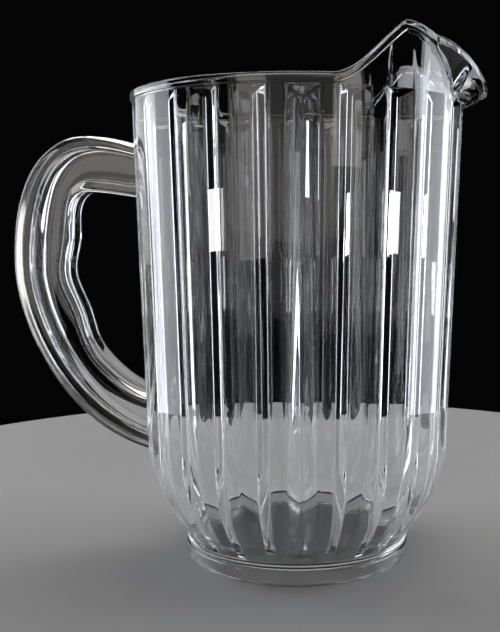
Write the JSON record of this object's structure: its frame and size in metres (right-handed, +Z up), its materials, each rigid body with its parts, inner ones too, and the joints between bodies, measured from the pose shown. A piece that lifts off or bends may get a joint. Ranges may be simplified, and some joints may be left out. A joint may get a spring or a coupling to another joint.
{
  "type": "beer pitcher",
  "caption": "Clear moulded beer pitcher with a fluted tapered wall, a drawn-in petal bowl on a foot ring, a horned pouring spout and an open I-section handle.",
  "frame": {"origin": "centre of the foot ring's flat underside, on the vessel's axis, at table level", "axes": "+X towards the pouring spout, -X towards the handle, +Y to the left of the spout seen from the handle, +Z up along the vessel's axis"},
  "size_m": [0.1934, 0.1326, 0.2044],
  "materials": {
    "clear_plastic": "clear, polished"
  },
  "bodies": {
    "root": {"vessel_wall": "clear_plastic", "base_bowl": "clear_plastic", "foot_ring": "clear_plastic", "rim_band": "clear_plastic", "pouring_spout": "clear_plastic", "handle": "clear_plastic"}
  },
  "joints": []
}
